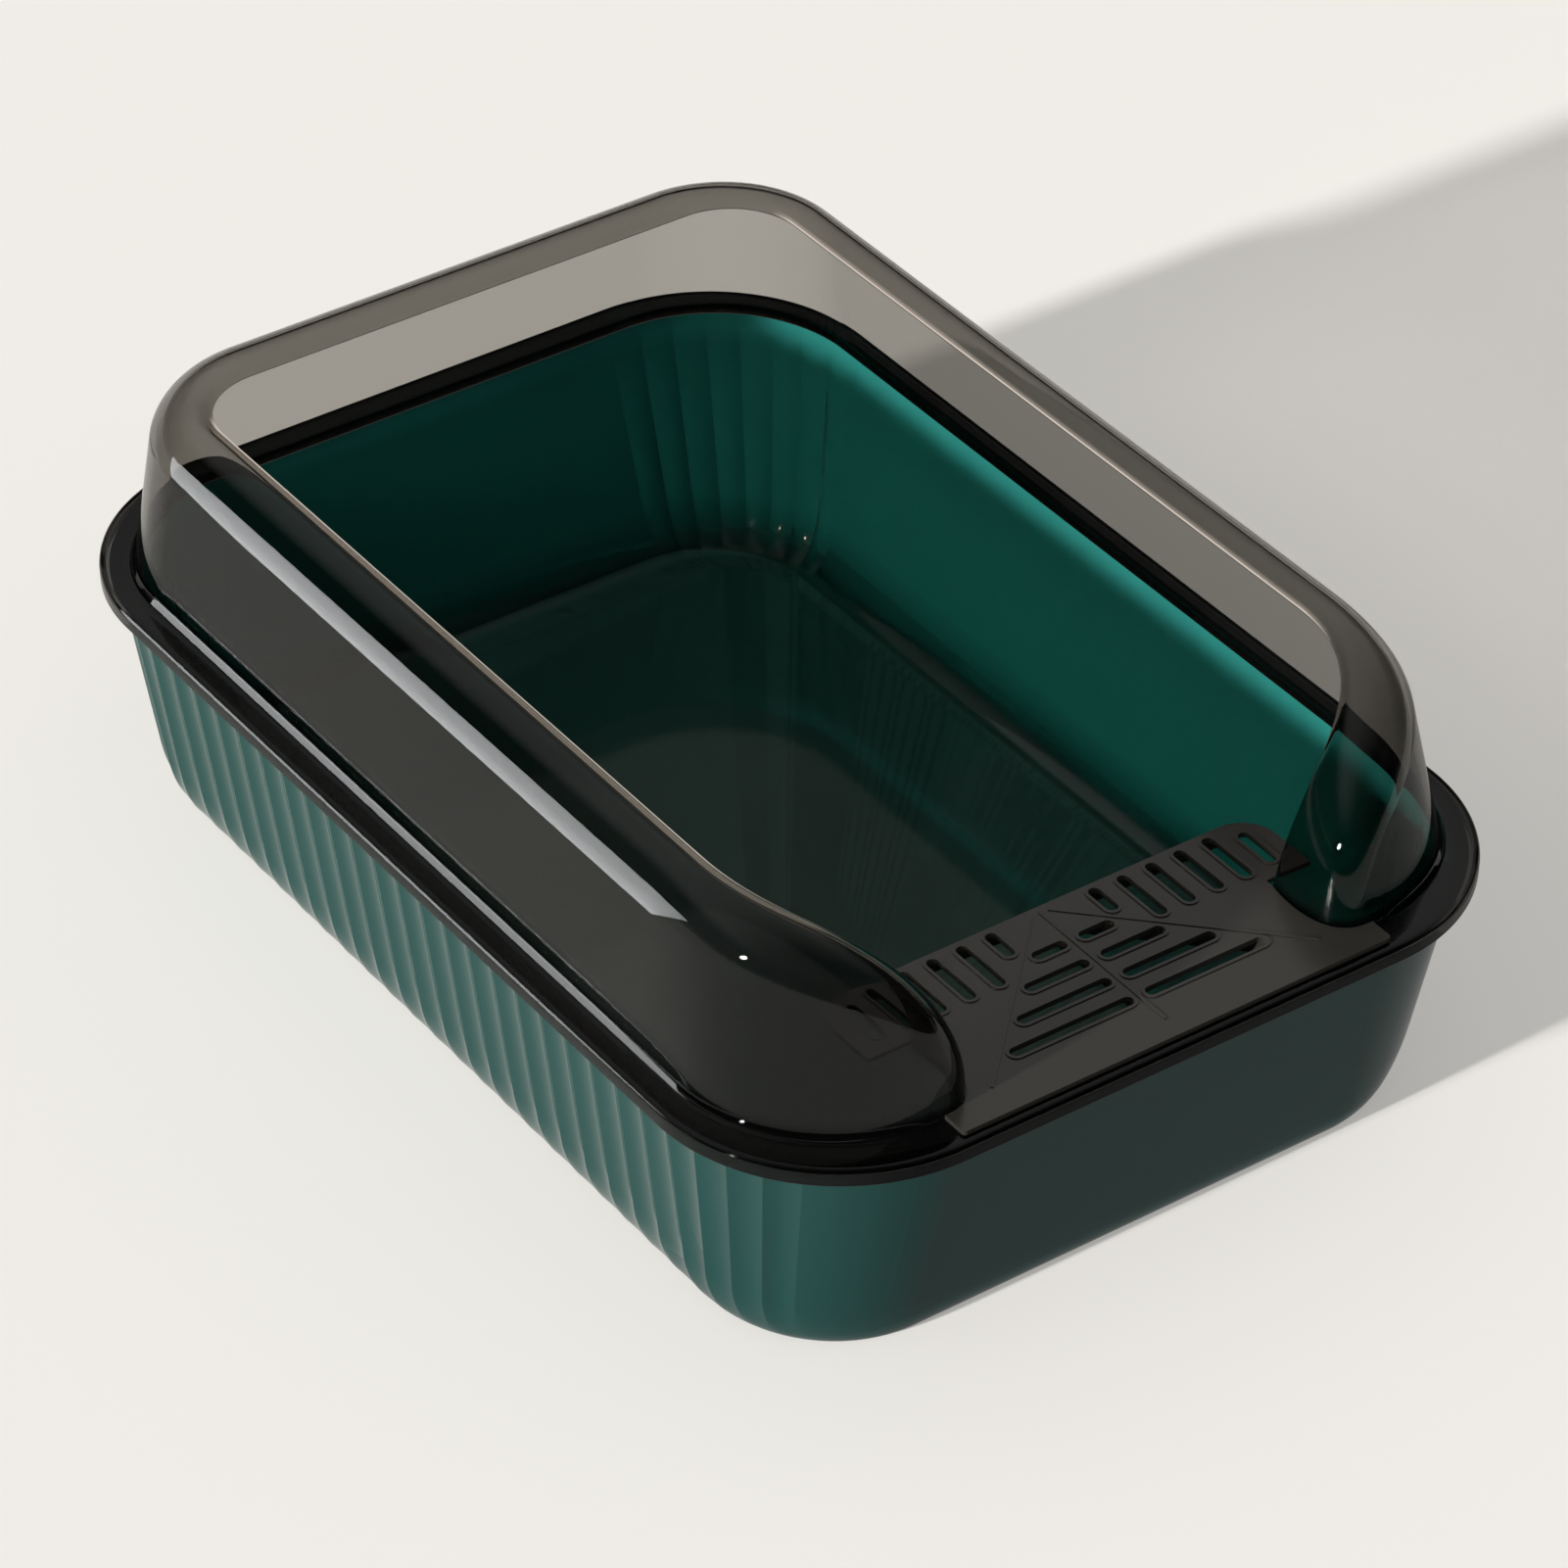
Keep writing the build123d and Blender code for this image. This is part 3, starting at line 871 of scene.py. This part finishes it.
def build_room():
    """Even warm light; reflections and clear plastic see a room that is dark low down and in front."""
    world = bpy.data.worlds.new("studio")
    bpy.context.scene.world = world
    world.use_nodes = True
    tree = world.node_tree
    room = tree.nodes["Background"]
    set_inputs(room, Color=ROOM_COLOUR, Strength=ROOM_LIGHT)
    dim = tree.nodes.new("ShaderNodeBackground")
    set_inputs(dim, Color=DIM_COLOUR)
    place = tree.nodes.new("ShaderNodeTexCoord")
    split = tree.nodes.new("ShaderNodeSeparateXYZ")
    tree.links.new(place.outputs["Generated"], split.inputs[0])
    height = spread(tree, split.outputs["Z"], *DIM_HEIGHT)
    behind = spread(tree, split.outputs["Y"], *DIM_LENGTH)
    tree.links.new(maths(tree, "MULTIPLY", height, behind), dim.inputs["Strength"])
    path = rays(tree)
    bounced = maths(tree, "MAXIMUM", path["Is Glossy Ray"], path["Is Transmission Ray"])
    mix = tree.nodes.new("ShaderNodeMixShader")
    tree.links.new(bounced, mix.inputs[0])
    tree.links.new(room.outputs[0], mix.inputs[1])
    tree.links.new(dim.outputs[0], mix.inputs[2])
    tree.links.new(mix.outputs[0], tree.nodes["World Output"].inputs["Surface"])


def build_sun():
    """Low sun from the left that gives the part its long shadow."""
    light = bpy.data.lights.new("low_sun", "SUN")
    light.energy = SUN_LIGHT
    light.color = SUN_COLOUR
    light.angle = math.radians(SUN_WIDTH)
    sun = bpy.data.objects.new("low_sun", light)
    bpy.context.scene.collection.objects.link(sun)
    sun.location = SUN_PLACE
    sun.rotation_euler = (-sun.location).to_track_quat("-Z", "Y").to_euler()


def card(name, corners, colour, strength, end_strength=None):
    """Studio card that only reflections see: lit for a highlight, dark to keep one away."""
    mesh = bpy.data.meshes.new(name)
    mesh.from_pydata(corners, [], [range(4)])
    piece = bpy.data.objects.new(name, mesh)
    bpy.context.scene.collection.objects.link(piece)
    material, tree, paint = shader(name)
    set_inputs(paint, Base_Color=(0, 0, 0, 1), Specular_IOR_Level=0)
    set_inputs(paint, Emission_Color=(*colour, 1), Emission_Strength=strength)
    if end_strength is not None:
        across = object_place(tree)[1]["X"]
        fade = spread(tree, across, -0.24, -0.08, strength, end_strength, "SMOOTHSTEP")
        tree.links.new(fade, paint.inputs["Emission Strength"])
    mesh.materials.append(material)
    for kind in ("camera", "diffuse", "transmission", "shadow"):
        setattr(piece, "visible_" + kind, False)


def build_cards():
    """Lit strip beside the left wall and a dark card on the floor in front."""
    strip_x, strip_low, strip_high = -0.36, 0.010, 0.205
    strip = (
        (strip_x, 0.065, strip_low),
        (strip_x, 0.39, strip_low),
        (strip_x, 0.45, strip_high),
        (strip_x, -0.06, strip_high),
    )
    card("strip_card", strip, (0.97, 0.985, 1), 9.6)
    left, right, rear, front, height = -0.24, 0.45, -0.15, -0.45, 0.002
    dark = (
        (left, rear, height),
        (right, rear, height),
        (right, front, height),
        (left, front, height),
    )
    card("dark_card", dark, (1, 0.98, 0.95), 0.62, 0.26)


build_floor()
build_room()
build_sun()
build_cards()

# Camera, solved from the photograph's straight edges

PHOTO_SIDE, FOCAL_PIXELS, SENSOR = 1601, 6661.76, 36
AZIMUTH, ELEVATION, ROLL = -125.217, 36.901, 0.2117
TARGET, DISTANCE = (-0.02414, -0.04428, 0.101), 2.44567


def build_camera():
    """Camera that looks at the target from an azimuth and elevation, with a slight roll."""
    lens = bpy.data.cameras.new("camera")
    lens.sensor_width = SENSOR
    lens.lens = FOCAL_PIXELS / PHOTO_SIDE * SENSOR
    lens.clip_end = 100
    camera = bpy.data.objects.new("camera", lens)
    bpy.context.scene.collection.objects.link(camera)
    azimuth, elevation, roll = [math.radians(angle) for angle in (AZIMUTH, ELEVATION, ROLL)]
    level = math.cos(elevation)
    away = Vector((level * math.cos(azimuth), level * math.sin(azimuth), math.sin(elevation)))
    right = Vector((-math.sin(azimuth), math.cos(azimuth), 0))
    up = away.cross(right)
    across = right * math.cos(roll) + up * math.sin(roll)
    upward = up * math.cos(roll) - right * math.sin(roll)
    turn = Matrix((across, upward, away)).transposed().to_4x4()
    camera.matrix_world = Matrix.Translation(Vector(TARGET) + away * DISTANCE) @ turn
    bpy.context.scene.camera = camera


build_camera()
bpy.context.scene.view_settings.view_transform = "Standard"
